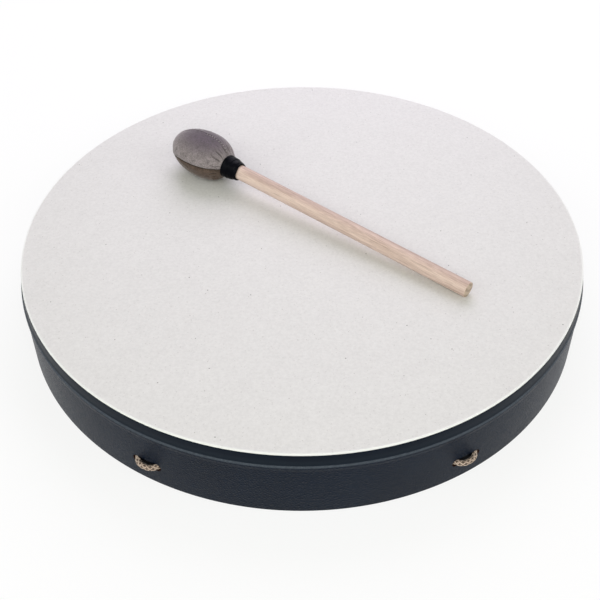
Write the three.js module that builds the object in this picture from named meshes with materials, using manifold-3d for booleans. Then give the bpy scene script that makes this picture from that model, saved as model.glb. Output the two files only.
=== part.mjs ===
// A wide, shallow frame drum with a fixed film head. A rope laced through its wall makes the grip inside, and
// its padded mallet lies on the head. The rim stands on Z = 0 with the head up, and -Y is the front.
import * as THREE from "three";
import { mergeVertices } from "three/addons/utils/BufferGeometryUtils.js";
import Module from "manifold-3d";

const wasm = await Module();
wasm.setup();
const { Manifold, Mesh } = wasm;

// Driving dimensions of the drum, in millimetres and degrees
const DRUM_DIAMETER = 558.8; // over the covered wall, 22 in
const DRUM_DEPTH = 76.2; // rim to the face of the head, 3 in
const SHELL_WALL = 7; // fibre ring
const WRAP_THICKNESS = 2.1; // textured covering with its backing
const FILM_THICKNESS = 0.5; // head
const HEAD_ROLL = 2; // outside radius where the film turns down over the rim
const BAND_HEIGHT = 13; // face of the head down to the shoulder of the covering
const BAND_THICKNESS = 0.6; // strip over the edge of the film
const SHOULDER_PROUD = 0.9; // rounded shoulder beyond the wall
const SHOULDER_ROUND = 3;
const RIM_ROUND = 0.6; // edges of the rim on the floor
const BEARING_FLAT = 3.2; // width of the edge under the film

// Driving dimensions of the rope and its grip
const ROPE_DIAMETER = 5;
const LACE_ANGLE = 29.8; // each bight, from the front or the back
const LACE_HEIGHT = 22.4; // holes, above the rim
const LACE_SPACING = 20.2; // between the two holes of a bight
const BIGHT_GAP = 1.2; // wall to the rope at the middle of a bight
const GRIP_TURNS = 18;

// Driving dimensions of the mallet
const HANDLE_DIAMETER = 15.4;
const HANDLE_LENGTH = 276; // bare wood, from the butt to the tape
const TAPE_LENGTH = 18.3;
const TAPE_THICKNESS = 1.1; // over its layers
const NECK_COVER = 0.7; // cover drawn tight under the thread
const NECK_BUNCH = 3.2; // gathered cover beyond the handle where it leaves the tape
const THREAD_THICKNESS = 0.7;
const PAD_WIDTH = 52.6;
const PAD_FLATTENING = 0.09; // loss of height against width at the middle
const PAD_MIDDLE = 30; // tape to the widest place
const PAD_NOSE = 41; // widest place to the far end
const COVER_THICKNESS = 1.6;
const COVER_PLEATS = 12;
const PLEAT_HEIGHT = 0.6;
const COVER_ROLL = 8; // seam turned up at the front
const MALLET_BUTT = [154.6, -94.2]; // middle of the butt's end, in plan
const MALLET_HEADING = 141.9; // butt to padded head, from +X

// Clearances
const GLUE = 0.3; // between bonded faces
const LAY = 0.3; // under a piece that only rests
const HOLE_ROOM = 4; // hole beyond the rope
const EDGE_ROOM = 0.5; // rope from the far edges of its two holes, which it leans against inside the wall
const TURN_ROOM = 0.45; // between turns of the winding
const SEAM_ROOM = 0.3; // between sewn edges

const RING_STEPS = 64;
const ROPE_SIDES = 8;

const rad = THREE.MathUtils.degToRad;
const wallRadius = DRUM_DIAMETER / 2;
const shellRadius = wallRadius - WRAP_THICKNESS - GLUE;
const shellInside = shellRadius - SHELL_WALL;
const filmRadius = shellRadius + GLUE + FILM_THICKNESS;
const shoulderHeight = DRUM_DEPTH - BAND_HEIGHT;
const ropeRadius = ROPE_DIAMETER / 2;
const handleRadius = HANDLE_DIAMETER / 2;

// Shape helpers
function toSolid(geometry) {
  const bare = new THREE.BufferGeometry().setAttribute("position", geometry.getAttribute("position"));
  bare.setIndex(geometry.index);
  const merged = mergeVertices(bare, 1e-3);
  const corners = [];
  for (let i = 0; i < merged.index.count; i += 3) {
    const [a, b, c] = [0, 1, 2].map((k) => merged.index.getX(i + k));
    if (a !== b && b !== c && c !== a) corners.push(a, b, c);
  }
  const vertProperties = merged.attributes.position.array;
  return new Manifold(new Mesh({ numProp: 3, vertProperties, triVerts: new Uint32Array(corners) }));
}

function toGeometry(solid) {
  const { vertProperties, triVerts, numProp } = solid.getMesh();
  const geometry = new THREE.BufferGeometry();
  geometry.setAttribute("position", new THREE.BufferAttribute(vertProperties, numProp));
  geometry.setIndex(new THREE.BufferAttribute(triVerts, 1));
  return geometry;
}

// A closed outline in radius and height, turned about Z
function turned(outline, steps) {
  return new THREE.LatheGeometry(outline.getPoints(1), steps).rotateX(Math.PI / 2);
}

// A closed skin through rings of equal counts, with a fan over each end
function skinned(rings) {
  const count = rings[0].length;
  const last = rings.length - 1;
  const middle = (ring) => ring.reduce((sum, p) => sum.add(p), new THREE.Vector3()).divideScalar(count);
  const points = [...rings.flat(), middle(rings[0]), middle(rings[last])];
  const faces = [];
  for (let j = 0; j < count; j++) {
    const k = (j + 1) % count;
    for (let i = 0; i < last; i++) {
      const [a, b] = [i * count + j, i * count + k];
      faces.push(a, b, b + count, a, b + count, a + count);
    }
    faces.push(points.length - 2, k, j, points.length - 1, last * count + j, last * count + k);
  }
  return new THREE.BufferGeometry().setFromPoints(points).setIndex(faces);
}

function tubeAlong(route, radius, sides) {
  const across = new THREE.Vector3(0.3, 0.2, 1);
  const rings = route.map((point, i) => {
    const ahead = route[Math.min(i + 1, route.length - 1)];
    const along = new THREE.Vector3().subVectors(ahead, route[Math.max(i - 1, 0)]).normalize();
    across.addScaledVector(along, -across.dot(along)).normalize();
    const beside = new THREE.Vector3().crossVectors(along, across);
    return Array.from({ length: sides }, (_, j) => {
      const turn = (2 * Math.PI * j) / sides;
      return point
        .clone()
        .addScaledVector(across, radius * Math.cos(turn))
        .addScaledVector(beside, radius * Math.sin(turn));
    });
  });
  return skinned(rings);
}

// Straight runs between corners, with each corner rounded by its own bend radius
function roundedRoute(corners, bends, steps) {
  const route = [corners[0]];
  bends.forEach((bend, i) => {
    const corner = corners[i + 1];
    const back = new THREE.Vector3().subVectors(corners[i], corner).normalize();
    const on = new THREE.Vector3().subVectors(corners[i + 2], corner).normalize();
    const half = back.angleTo(on) / 2;
    const centre = back.clone().add(on).setLength(bend / Math.sin(half)).add(corner);
    const arm = back.clone().setLength(bend / Math.tan(half)).add(corner).sub(centre);
    const axis = new THREE.Vector3().crossVectors(on, back).normalize();
    for (let k = 0; k <= steps; k++) {
      route.push(arm.clone().applyAxisAngle(axis, (k / steps) * (Math.PI - 2 * half)).add(centre));
    }
  });
  return [...route, corners[corners.length - 1]];
}

function node(name, geometry, color, roughness) {
  const material = new THREE.MeshStandardMaterial({ color, roughness, metalness: 0 });
  const mesh = new THREE.Mesh(geometry, material);
  mesh.name = name;
  return mesh;
}

// A place on the drum by its angle from the front, its radius and its height
function around(degrees, radius, height) {
  return new THREE.Vector3(radius * Math.sin(rad(degrees)), -radius * Math.cos(rad(degrees)), height);
}

// Shell ring: plain inside, with a bearing edge that slopes away from the film
const bearingTop = DRUM_DEPTH - FILM_THICKNESS - GLUE;
const bearingRound = HEAD_ROLL - FILM_THICKNESS - GLUE;
const shellOutline = new THREE.Path()
  .moveTo(shellInside + RIM_ROUND, 0)
  .lineTo(shellRadius - RIM_ROUND, 0)
  .absarc(shellRadius - RIM_ROUND, RIM_ROUND, RIM_ROUND, -Math.PI / 2, 0)
  .lineTo(shellRadius, bearingTop - bearingRound)
  .absarc(shellRadius - bearingRound, bearingTop - bearingRound, bearingRound, 0, Math.PI / 2)
  .lineTo(shellRadius - BEARING_FLAT, bearingTop)
  .lineTo(shellInside, bearingTop - SHELL_WALL + BEARING_FLAT)
  .lineTo(shellInside, RIM_ROUND)
  .absarc(shellInside + RIM_ROUND, RIM_ROUND, RIM_ROUND, Math.PI, 1.5 * Math.PI);

// Covering: straight wall, rolled under at the rim and up to a rounded shoulder below the strip
const wrapInside = shellRadius + GLUE;
const shoulderRadius = wallRadius + SHOULDER_PROUD;
const shoulderFoot = wrapInside + GLUE;
const shoulderWidth = shoulderRadius - shoulderFoot;
const wrapOutline = new THREE.Path()
  .moveTo(wrapInside, LAY)
  .lineTo(wallRadius - RIM_ROUND, LAY)
  .absarc(wallRadius - RIM_ROUND, LAY + RIM_ROUND, RIM_ROUND, -Math.PI / 2, 0)
  .lineTo(wallRadius, shoulderHeight - 2.6 * SHOULDER_ROUND)
  .lineTo(shoulderRadius, shoulderHeight - 1.4 * SHOULDER_ROUND)
  .lineTo(shoulderRadius, shoulderHeight - SHOULDER_ROUND)
  .absellipse(shoulderFoot, shoulderHeight - SHOULDER_ROUND, shoulderWidth, SHOULDER_ROUND, 0, Math.PI / 2)
  .lineTo(wrapInside, shoulderHeight)
  .lineTo(wrapInside, LAY);

// Two holes through the wall for each bight of the rope
const holeTurn = THREE.MathUtils.radToDeg(LACE_SPACING / 2 / wallRadius);
const passTurn = THREE.MathUtils.radToDeg((LACE_SPACING / 2 + HOLE_ROOM / 2 - EDGE_ROOM) / wallRadius);
const bights = { front_left: -LACE_ANGLE, front_right: LACE_ANGLE };
bights.back_left = LACE_ANGLE - 180;
bights.back_right = 180 - LACE_ANGLE;
const holeReach = SHELL_WALL + WRAP_THICKNESS + SHOULDER_PROUD + 8;
const holeRadius = ropeRadius + HOLE_ROOM / 2;
const drills = Object.values(bights).flatMap((angle) =>
  [angle - holeTurn, angle + holeTurn].map((degrees) => {
    const drill = new THREE.CylinderGeometry(holeRadius, holeRadius, holeReach, 16);
    const middle = around(degrees, wallRadius + 4 - holeReach / 2, LACE_HEIGHT);
    drill.rotateZ(rad(degrees)).translate(middle.x, middle.y, middle.z);
    return toSolid(drill);
  }),
);
const drilled = (geometry) => toGeometry(Manifold.difference([toSolid(geometry), ...drills]));

// Head: flat film, turned down over the bearing edge
const collarFoot = shoulderHeight + LAY;
const rollMiddle = DRUM_DEPTH - HEAD_ROLL;
const filmOutline = new THREE.Path()
  .moveTo(0, DRUM_DEPTH - FILM_THICKNESS)
  .lineTo(filmRadius - HEAD_ROLL, DRUM_DEPTH - FILM_THICKNESS)
  .absarc(filmRadius - HEAD_ROLL, rollMiddle, HEAD_ROLL - FILM_THICKNESS, Math.PI / 2, 0, true)
  .lineTo(filmRadius - FILM_THICKNESS, collarFoot)
  .lineTo(filmRadius, collarFoot)
  .lineTo(filmRadius, rollMiddle)
  .absarc(filmRadius - HEAD_ROLL, rollMiddle, HEAD_ROLL, 0, Math.PI / 2)
  .lineTo(0, DRUM_DEPTH);

// Strip over the edge of the film, from the roll down to the shoulder
const bandInside = filmRadius + GLUE;
const bandOutline = new THREE.Path()
  .moveTo(bandInside, collarFoot)
  .lineTo(bandInside + BAND_THICKNESS, collarFoot)
  .lineTo(bandInside + BAND_THICKNESS, rollMiddle + HEAD_ROLL / 4)
  .lineTo(bandInside, rollMiddle + HEAD_ROLL / 2)
  .lineTo(bandInside, collarFoot);

// Rope: four strands side by side in the grip, fanning out to the four bights
const strandOffset = ropeRadius + LAY;
const coilRadius = strandOffset * Math.SQRT2 + ropeRadius + LAY + ropeRadius;
const coilPitch = ROPE_DIAMETER + TURN_ROOM;
const gripHalf = (GRIP_TURNS * coilPitch) / 2 + ROPE_DIAMETER;

function ropeStretch(angle) {
  const [side, end] = [Math.sign(angle), Math.abs(angle) < 90 ? -1 : 1];
  const strand = (y, rise) => {
    return new THREE.Vector3(side * strandOffset, end * y, LACE_HEIGHT + rise * strandOffset);
  };
  const [first, second] = [angle - passTurn, angle + passTurn];
  const inside = shellInside - 1.5 * ROPE_DIAMETER;
  const outside = (wallRadius + BIGHT_GAP + ropeRadius) / Math.cos(rad(passTurn));
  const corners = [
    strand(LAY / 2, 1),
    strand(gripHalf, 1),
    around(first, inside, LACE_HEIGHT),
    around(first, outside, LACE_HEIGHT),
    around(second, outside, LACE_HEIGHT),
    around(second, inside, LACE_HEIGHT),
    strand(gripHalf, -1),
    strand(LAY / 2, -1),
  ];
  const [easy, close] = [4 * ROPE_DIAMETER, 2 * ROPE_DIAMETER];
  const bends = [easy, easy, close, close, easy, easy];
  return tubeAlong(roundedRoute(corners, bends, 6), ropeRadius, ROPE_SIDES);
}

// Winding of the grip: the tail of the rope in close turns, its two ends lying straight
function coilRoute() {
  const steps = 20 * GRIP_TURNS;
  const at = (turns) => {
    const turn = 2 * Math.PI * turns;
    const y = (turns - GRIP_TURNS / 2) * coilPitch;
    return new THREE.Vector3(coilRadius * Math.sin(turn), y, LACE_HEIGHT + coilRadius * Math.cos(turn));
  };
  const route = Array.from({ length: steps + 1 }, (_, i) => at((i / steps) * GRIP_TURNS));
  const tail = new THREE.Vector3().subVectors(route[steps], route[steps - 1]).setLength(ROPE_DIAMETER);
  const start = new THREE.Vector3().subVectors(route[0], route[1]).setLength(ROPE_DIAMETER);
  return [start.add(route[0]), ...route, tail.add(route[steps])];
}
const coil = coilRoute();
const farEnough = 10;
let coilGap = Infinity;
for (let i = 0; i < coil.length; i++) {
  for (let j = i + farEnough; j < coil.length; j++) {
    coilGap = Math.min(coilGap, coil[i].distanceTo(coil[j]) - ROPE_DIAMETER);
  }
}
console.log(`grip_winding: least gap between turns ${coilGap.toFixed(2)} mm`);

// Mallet, along its own Z from the butt: -X of its frame is up when it lies on the head
const tapeStart = HANDLE_LENGTH;
const tapeEnd = HANDLE_LENGTH + TAPE_LENGTH;
const padMiddle = tapeEnd + PAD_MIDDLE;
const padEnd = padMiddle + PAD_NOSE;
const boreRadius = handleRadius + GLUE;
const handleEnd = padMiddle + PAD_NOSE / 4;
const chamfer = handleRadius / 8;
const handleOutline = new THREE.Path()
  .moveTo(0, 0)
  .lineTo(handleRadius - chamfer, 0)
  .lineTo(handleRadius, chamfer)
  .lineTo(handleRadius, handleEnd)
  .lineTo(0, handleEnd);

// Neck, from the handle out: tight cover, thread, then tape that widens with the gathers
const threadStart = tapeStart + TAPE_LENGTH * 0.5;
const threadEnd = tapeStart + TAPE_LENGTH * 0.75;
const waistRadius = boreRadius + NECK_COVER;
const threadRadius = waistRadius + GLUE + THREAD_THICKNESS;
const neckRadius = handleRadius + NECK_BUNCH;
const tapeInside = [
  [boreRadius, tapeStart],
  [threadRadius + GLUE, threadStart],
  [neckRadius + GLUE, tapeEnd],
];
const tapeOutline = new THREE.Path().setFromPoints([
  ...tapeInside.map(([r, s]) => new THREE.Vector2(r + TAPE_THICKNESS, s)),
  ...tapeInside.toReversed().map(([r, s]) => new THREE.Vector2(r, s)),
  new THREE.Vector2(boreRadius + TAPE_THICKNESS, tapeStart),
]);
const threadOutline = new THREE.Path()
  .moveTo(waistRadius + GLUE, threadStart)
  .lineTo(threadRadius, threadStart)
  .lineTo(threadRadius, threadEnd - LAY)
  .lineTo(waistRadius + GLUE, threadEnd - LAY)
  .lineTo(waistRadius + GLUE, threadStart);

// Padded head: full round the middle, longer to its nose, drawn in to the neck
const neckSpan = PAD_MIDDLE / Math.sqrt(1 - (neckRadius / (PAD_WIDTH / 2)) ** 2);
function padRadius(s, inset) {
  const span = s < padMiddle ? neckSpan : PAD_NOSE - inset;
  return (PAD_WIDTH / 2 - inset) * Math.sqrt(Math.max(0, 1 - ((s - padMiddle) / span) ** 2));
}

function padRing(s, inset, sides, pleated) {
  const smooth = THREE.MathUtils.smoothstep;
  const height = 1 - PAD_FLATTENING * smooth(s, tapeEnd, padMiddle);
  const drawn = smooth(s, tapeEnd, tapeEnd + 4) * (1 - smooth(s, tapeEnd + 4, padMiddle));
  return Array.from({ length: sides }, (_, j) => {
    const turn = (2 * Math.PI * j) / sides;
    const pleat = pleated ? PLEAT_HEIGHT * drawn * Math.cos(COVER_PLEATS * turn) : 0;
    const radius = padRadius(s, inset) + pleat;
    return new THREE.Vector3(-height * radius * Math.cos(turn), -radius * Math.sin(turn), s);
  });
}

// Stations close up towards the nose, where the pad rounds over
function padStations(from, inset, count) {
  const reach = padEnd - inset - from;
  const share = (i) => Math.sin((Math.PI / 2) * ((i + 0.5) / count));
  return Array.from({ length: count }, (_, i) => from + reach * share(i));
}

function padSolid(from, inset, sides, count, pleated) {
  const stations = [from, ...padStations(from, inset, count)];
  return toSolid(skinned(stations.map((s) => padRing(s, inset, sides, pleated))));
}

function rod(radius, from, to, sides) {
  const cylinder = new THREE.CylinderGeometry(radius, radius, to - from, sides);
  return toSolid(cylinder.rotateX(Math.PI / 2).translate(0, 0, (from + to) / 2));
}

const coverStart = tapeStart + TAPE_LENGTH * 0.35;
const neckOutline = new THREE.Path()
  .moveTo(0, coverStart)
  .lineTo(waistRadius, coverStart)
  .lineTo(waistRadius, threadEnd)
  .lineTo((threadRadius + neckRadius) / 2, threadEnd)
  .lineTo(neckRadius, tapeEnd)
  .lineTo(0, tapeEnd);
const padOpen = tapeEnd + 3;
const coverBody = toSolid(turned(neckOutline, 48))
  .add(padSolid(tapeEnd, 0, 48, 14, true))
  .subtract(padSolid(padOpen, COVER_THICKNESS, 24, 10, false))
  .subtract(rod(boreRadius, coverStart - 1, padOpen + 1, 24));

const coverHalf = (up) => {
  const block = new THREE.BoxGeometry(PAD_WIDTH, 2 * PAD_WIDTH, 2 * (padEnd - coverStart));
  block.translate(up * (-PAD_WIDTH / 2 - SEAM_ROOM / 2), 0, (padEnd + coverStart) / 2);
  return toGeometry(coverBody.intersect(toSolid(block)));
};

const coreBody = padSolid(padOpen + GLUE, COVER_THICKNESS + 2 * GLUE, 24, 10, false)
  .subtract(rod(boreRadius, padOpen - 1, handleEnd + GLUE, 24));

const mallet = new THREE.Group();
mallet.name = "mallet";
const padHeight = (PAD_WIDTH / 2) * (1 - PAD_FLATTENING);
const tilt = Math.asin((padHeight - handleRadius) / padMiddle);
mallet.position.set(...MALLET_BUTT, DRUM_DEPTH + LAY + handleRadius * Math.cos(tilt));
mallet.rotation.set(0, Math.PI / 2 - tilt, rad(MALLET_HEADING), "ZYX");
const paddedHead = new THREE.Group();
paddedHead.rotation.z = rad(COVER_ROLL);
paddedHead.add(
  node("mallet_core", toGeometry(coreBody), 0xd8d2c6, 0.95),
  node("mallet_cover_upper", coverHalf(1), 0x857b79, 0.9),
  node("mallet_cover_lower", coverHalf(-1), 0x645b53, 0.9),
);
mallet.add(
  node("mallet_handle", turned(handleOutline, 24), 0xd8b898, 0.55),
  node("neck_thread", turned(threadOutline, 48), 0x2a2622, 0.9),
  node("neck_tape", turned(tapeOutline, 48), 0x14161a, 0.45),
  paddedHead,
);

const drum = new THREE.Group();
drum.name = "drum";
drum.add(
  node("shell_ring", drilled(turned(shellOutline, RING_STEPS)), 0x6b4a34, 0.8),
  node("shell_wrap", drilled(turned(wrapOutline, RING_STEPS)), 0x2b2f37, 0.6),
  node("drum_head", turned(filmOutline, RING_STEPS), 0xebe8e4, 0.5),
  node("collar_band", turned(bandOutline, RING_STEPS), 0x181c22, 0.6),
  node("grip_winding", tubeAlong(coil, ropeRadius, 6), 0xc8ad8c, 0.9),
);
for (const [place, angle] of Object.entries(bights)) {
  drum.add(node(`rope_${place}`, ropeStretch(angle), 0xc8ad8c, 0.9));
}

const part = new THREE.Group();
part.name = "buffalo_drum";
part.add(drum, mallet);

export default part;
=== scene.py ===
import math

import bmesh
import bpy
from mathutils import Matrix, Vector


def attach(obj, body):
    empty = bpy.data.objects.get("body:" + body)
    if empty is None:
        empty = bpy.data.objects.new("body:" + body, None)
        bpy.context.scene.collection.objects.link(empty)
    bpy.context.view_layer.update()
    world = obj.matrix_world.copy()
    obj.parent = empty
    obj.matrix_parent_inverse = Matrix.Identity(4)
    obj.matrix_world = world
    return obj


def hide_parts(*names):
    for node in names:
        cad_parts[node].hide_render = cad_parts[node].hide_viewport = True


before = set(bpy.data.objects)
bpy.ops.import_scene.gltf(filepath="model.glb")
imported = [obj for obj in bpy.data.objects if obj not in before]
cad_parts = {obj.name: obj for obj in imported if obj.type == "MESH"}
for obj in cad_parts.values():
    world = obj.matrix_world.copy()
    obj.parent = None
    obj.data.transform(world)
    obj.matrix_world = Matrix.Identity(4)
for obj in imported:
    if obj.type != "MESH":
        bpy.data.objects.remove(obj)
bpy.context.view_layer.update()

# Camera
# The view of someone standing in front of the drum and looking down at it, with a normal lens. The whole
# rim lies just inside a square frame.
lens = bpy.data.cameras.new("camera")
lens.sensor_width, lens.lens = 36.0, 60.79
camera = bpy.data.objects.new("camera", lens)
bpy.context.collection.objects.link(camera)
eye = (-0.00226, -0.78556, 0.72997)
aside, look_down, lean = math.radians(-0.58), math.radians(43.475), math.radians(-0.421)
camera.matrix_world = (
    Matrix.Rotation(aside, 4, "Z")
    @ Matrix.Translation(eye)
    @ Matrix.Rotation(math.pi / 2 - look_down, 4, "X")
    @ Matrix.Rotation(lean, 4, "Z")
)
bpy.context.scene.camera = camera


# Shell ring
# The stiff ring that carries everything, pressed from wood fibre and left raw inside. Its upper edge
# slopes away from the film, and eight holes are drilled through it for the rope.
def link(name, data):
    piece = bpy.data.objects.new(name, data)
    bpy.context.collection.objects.link(piece)
    return piece


def close_and_smooth(mesh, sharp):
    """Merges doubled points at seams and poles, and shades smooth up to the given angle."""
    bm = bmesh.new()
    bm.from_mesh(mesh)
    bmesh.ops.remove_doubles(bm, verts=bm.verts, dist=1e-7)
    bmesh.ops.dissolve_degenerate(bm, edges=bm.edges, dist=1e-8)
    bm.to_mesh(mesh)
    bm.free()
    mesh.shade_smooth()
    mesh.set_sharp_from_angle(angle=math.radians(sharp))
    return mesh


def arc(radius, height, bend, start, end, count=6):
    """Points of a rounded corner in radius and height, with its middle at the first two values."""
    turns = [math.radians(start + (end - start) * i / count) for i in range(count + 1)]
    return [(radius + bend * math.cos(t), height + bend * math.sin(t)) for t in turns]


def turned(name, outline, steps, closed=True):
    """An outline in radius and height, up the outside and down the inside, turned about Z."""
    count = len(outline)
    verts, faces = [], []
    for i in range(steps):
        t = 2 * math.pi * i / steps
        verts += [(r * math.cos(t), r * math.sin(t), z) for r, z in outline]
        j = (i + 1) % steps
        for k in range(count if closed else count - 1):
            m = (k + 1) % count
            faces.append((i * count + k, j * count + k, j * count + m, i * count + m))
    mesh = bpy.data.meshes.new(name)
    mesh.from_pydata(verts, [], faces)
    return mesh


def made_plain(piece):
    """The piece's evaluated shape as its own mesh, with no modifier left on it."""
    graph = bpy.context.evaluated_depsgraph_get()
    mesh = bpy.data.meshes.new_from_object(piece.evaluated_get(graph), depsgraph=graph)
    piece.modifiers.clear()
    old, piece.data = piece.data, mesh
    bpy.data.meshes.remove(old)
    mesh.name = piece.name
    return mesh


wall_radius, lace_angle, lace_height = 0.2794, 29.8, 0.0224
hole_radius, hole_spacing = 0.0045, 0.0202
drill_middle, drill_length, drill_sides = 0.2760, 0.03, 48
hole_turn = math.degrees(hole_spacing / 2 / wall_radius)
bights = {
    "front_left": -lace_angle,
    "front_right": lace_angle,
    "back_left": lace_angle - 180,
    "back_right": 180 - lace_angle,
}
hole_angles = [angle + side * hole_turn for angle in bights.values() for side in (-1, 1)]


def around(degrees, radius, height):
    """A place on the drum by its angle from the front, its radius and its height."""
    t = math.radians(degrees)
    return Vector((radius * math.sin(t), -radius * math.cos(t), height))


def drill_for_rope(piece, bare_edge):
    """Cuts the rope holes, and gives the cut faces the material that shows there."""
    drill = dict(segments=drill_sides, radius1=hole_radius, radius2=hole_radius, depth=drill_length)
    bm = bmesh.new()
    for degrees in hole_angles:
        facing = Matrix.Translation(around(degrees, drill_middle, lace_height))
        facing = facing @ Matrix.Rotation(math.radians(degrees), 4, "Z")
        facing = facing @ Matrix.Rotation(math.pi / 2, 4, "X")
        bmesh.ops.create_cone(bm, cap_ends=True, **drill, matrix=facing)
    drills = bpy.data.meshes.new("drills")
    bm.to_mesh(drills)
    bm.free()
    tool = link("drills", drills)
    cut = piece.modifiers.new("holes", "BOOLEAN")
    cut.operation, cut.solver, cut.object = "DIFFERENCE", "EXACT", tool
    mesh = made_plain(piece)
    bpy.data.objects.remove(tool)
    mesh.materials.append(bare_edge)
    for face in mesh.polygons:
        arm = face.center - Vector((0, 0, lace_height))
        for degrees in hole_angles:
            axis = around(degrees, 1.0, 0.0)
            across = arm - axis * arm.dot(axis)
            in_hole = arm.dot(axis) > 0 and across.length < hole_radius * 1.02
            if in_hole and abs(face.normal.dot(axis)) < 0.5:
                face.material_index = 1
    close_and_smooth(mesh, 35)


def natural_grain_group():
    """Soft patches and fine grain, for raw and natural surfaces."""
    group = bpy.data.node_groups.new("natural_grain", "ShaderNodeTree")
    face = group.interface
    face.new_socket("Vector", in_out="INPUT", socket_type="NodeSocketVector")
    for name, value in (("Patch Scale", 20.0), ("Grain Scale", 400.0), ("Patch Share", 0.5)):
        face.new_socket(name, in_out="INPUT", socket_type="NodeSocketFloat").default_value = value
    face.new_socket("Mottle", in_out="OUTPUT", socket_type="NodeSocketFloat")
    face.new_socket("Grain", in_out="OUTPUT", socket_type="NodeSocketFloat")
    nodes, links = group.nodes, group.links
    start, end = nodes.new("NodeGroupInput"), nodes.new("NodeGroupOutput")
    patch, fine = nodes.new("ShaderNodeTexNoise"), nodes.new("ShaderNodeTexNoise")
    mix = nodes.new("ShaderNodeMix")
    patch.inputs["Detail"].default_value = 4.0
    fine.inputs["Detail"].default_value = 5.0
    fine.inputs["Roughness"].default_value = 0.65
    for noise, scale in ((patch, "Patch Scale"), (fine, "Grain Scale")):
        links.new(start.outputs["Vector"], noise.inputs["Vector"])
        links.new(start.outputs[scale], noise.inputs["Scale"])
    links.new(start.outputs["Patch Share"], mix.inputs[0])
    links.new(fine.outputs[0], mix.inputs[2])
    links.new(patch.outputs[0], mix.inputs[3])
    links.new(mix.outputs[0], end.inputs["Mottle"])
    links.new(fine.outputs[0], end.inputs["Grain"])
    return group


natural_grain = natural_grain_group()


def math_step(tree, operation, *values):
    """The outcome of one operation on values, each a number or the output of another node."""
    node = tree.nodes.new("ShaderNodeMath")
    node.operation = operation
    for socket, value in zip(node.inputs, values):
        if isinstance(value, (int, float)):
            socket.default_value = value
        else:
            tree.links.new(value, socket)
    return node.outputs[0]


class Finish:
    """A material under way, with the few node steps that the finishes of this drum share."""

    def __init__(self, name, roughness, specular):
        self.material = bpy.data.materials.new(name)
        self.material.use_nodes = True
        self.nodes, self.links = self.material.node_tree.nodes, self.material.node_tree.links
        self.shader = self.nodes["Principled BSDF"]
        self.shader.inputs["Roughness"].default_value = roughness
        self.shader.inputs["Specular IOR Level"].default_value = specular

    def place(self, attribute=None):
        """Coordinates of the object, or of the piece's own stored attribute."""
        if attribute is None:
            return self.nodes.new("ShaderNodeTexCoord").outputs["Object"]
        node = self.nodes.new("ShaderNodeAttribute")
        node.attribute_name = attribute
        return node.outputs["Vector"]

    def value(self, attribute):
        node = self.nodes.new("ShaderNodeAttribute")
        node.attribute_name = attribute
        return node.outputs["Fac"]

    def grain(self, place, patch, fine, share=0.5):
        node = self.nodes.new("ShaderNodeGroup")
        node.node_tree = natural_grain
        self.links.new(place, node.inputs["Vector"])
        for name, value in (("Patch Scale", patch), ("Grain Scale", fine), ("Patch Share", share)):
            node.inputs[name].default_value = value
        return node.outputs["Mottle"], node.outputs["Grain"]

    def calc(self, operation, *values):
        return math_step(self.material.node_tree, operation, *values)

    def between(self, source, low, high, start=0.0, end=1.0):
        """A value that runs from start to end while the source runs from low to high."""
        node = self.nodes.new("ShaderNodeMapRange")
        node.interpolation_type = "SMOOTHSTEP"
        for name, value in (("From Min", low), ("From Max", high), ("To Min", start), ("To Max", end)):
            node.inputs[name].default_value = value
        self.links.new(source, node.inputs["Value"])
        return node.outputs[0]

    def parts(self, place):
        node = self.nodes.new("ShaderNodeSeparateXYZ")
        self.links.new(place, node.inputs[0])
        return node.outputs

    def from_axis(self, place):
        """How far a place lies from the axis of the drum."""
        x, y, _ = self.parts(place)
        return self.calc("SQRT", self.calc("MULTIPLY_ADD", x, x, self.calc("MULTIPLY", y, y)))

    def butt_joint(self, x, y, aside, inner, outer):
        """A thin line at the back where two ends meet, a little to the side of the middle."""
        off = self.calc("ABSOLUTE", self.calc("ADD", x, aside))
        line = self.between(off, inner, outer, 1.0, 0.0)
        return self.calc("MULTIPLY", line, self.calc("GREATER_THAN", y, 0.0))

    def ramp(self, source, stops):
        node = self.nodes.new("ShaderNodeValToRGB")
        while len(node.color_ramp.elements) < len(stops):
            node.color_ramp.elements.new(0.5)
        for element, (position, colour) in zip(node.color_ramp.elements, stops):
            element.position = position
            element.color = (*colour, 1.0)
        self.links.new(source, node.inputs[0])
        return node.outputs[0]

    def over(self, base, colour, mask):
        """A colour laid over another where the mask says so."""
        node = self.nodes.new("ShaderNodeMix")
        node.data_type = "RGBA"
        self.links.new(mask, node.inputs[0])
        self.links.new(base, node.inputs[6])
        if isinstance(colour, tuple):
            node.inputs[7].default_value = (*colour, 1.0)
        else:
            self.links.new(colour, node.inputs[7])
        return node.outputs[2]

    def times(self, base, shade):
        """One colour multiplied by another."""
        node = self.nodes.new("ShaderNodeMix")
        node.data_type, node.blend_type = "RGBA", "MULTIPLY"
        node.inputs[0].default_value = 1.0
        self.links.new(base, node.inputs[6])
        self.links.new(shade, node.inputs[7])
        return node.outputs[2]

    def colour(self, source):
        self.links.new(source, self.shader.inputs["Base Color"])

    def rough(self, source):
        self.links.new(source, self.shader.inputs["Roughness"])

    def bump(self, height, strength, distance):
        node = self.nodes.new("ShaderNodeBump")
        node.inputs["Strength"].default_value = strength
        node.inputs["Distance"].default_value = distance
        self.links.new(height, node.inputs["Height"])
        self.links.new(node.outputs[0], self.shader.inputs["Normal"])


def mottled(name, surface, scales, dark, light, relief):
    """A plain natural finish that varies between two tones."""
    finish = Finish(name, *surface)
    mottle, grain = finish.grain(finish.place(), *scales)
    finish.colour(finish.ramp(mottle, [(0.3, dark), (0.7, light)]))
    finish.bump(grain, *relief)
    return finish


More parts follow.
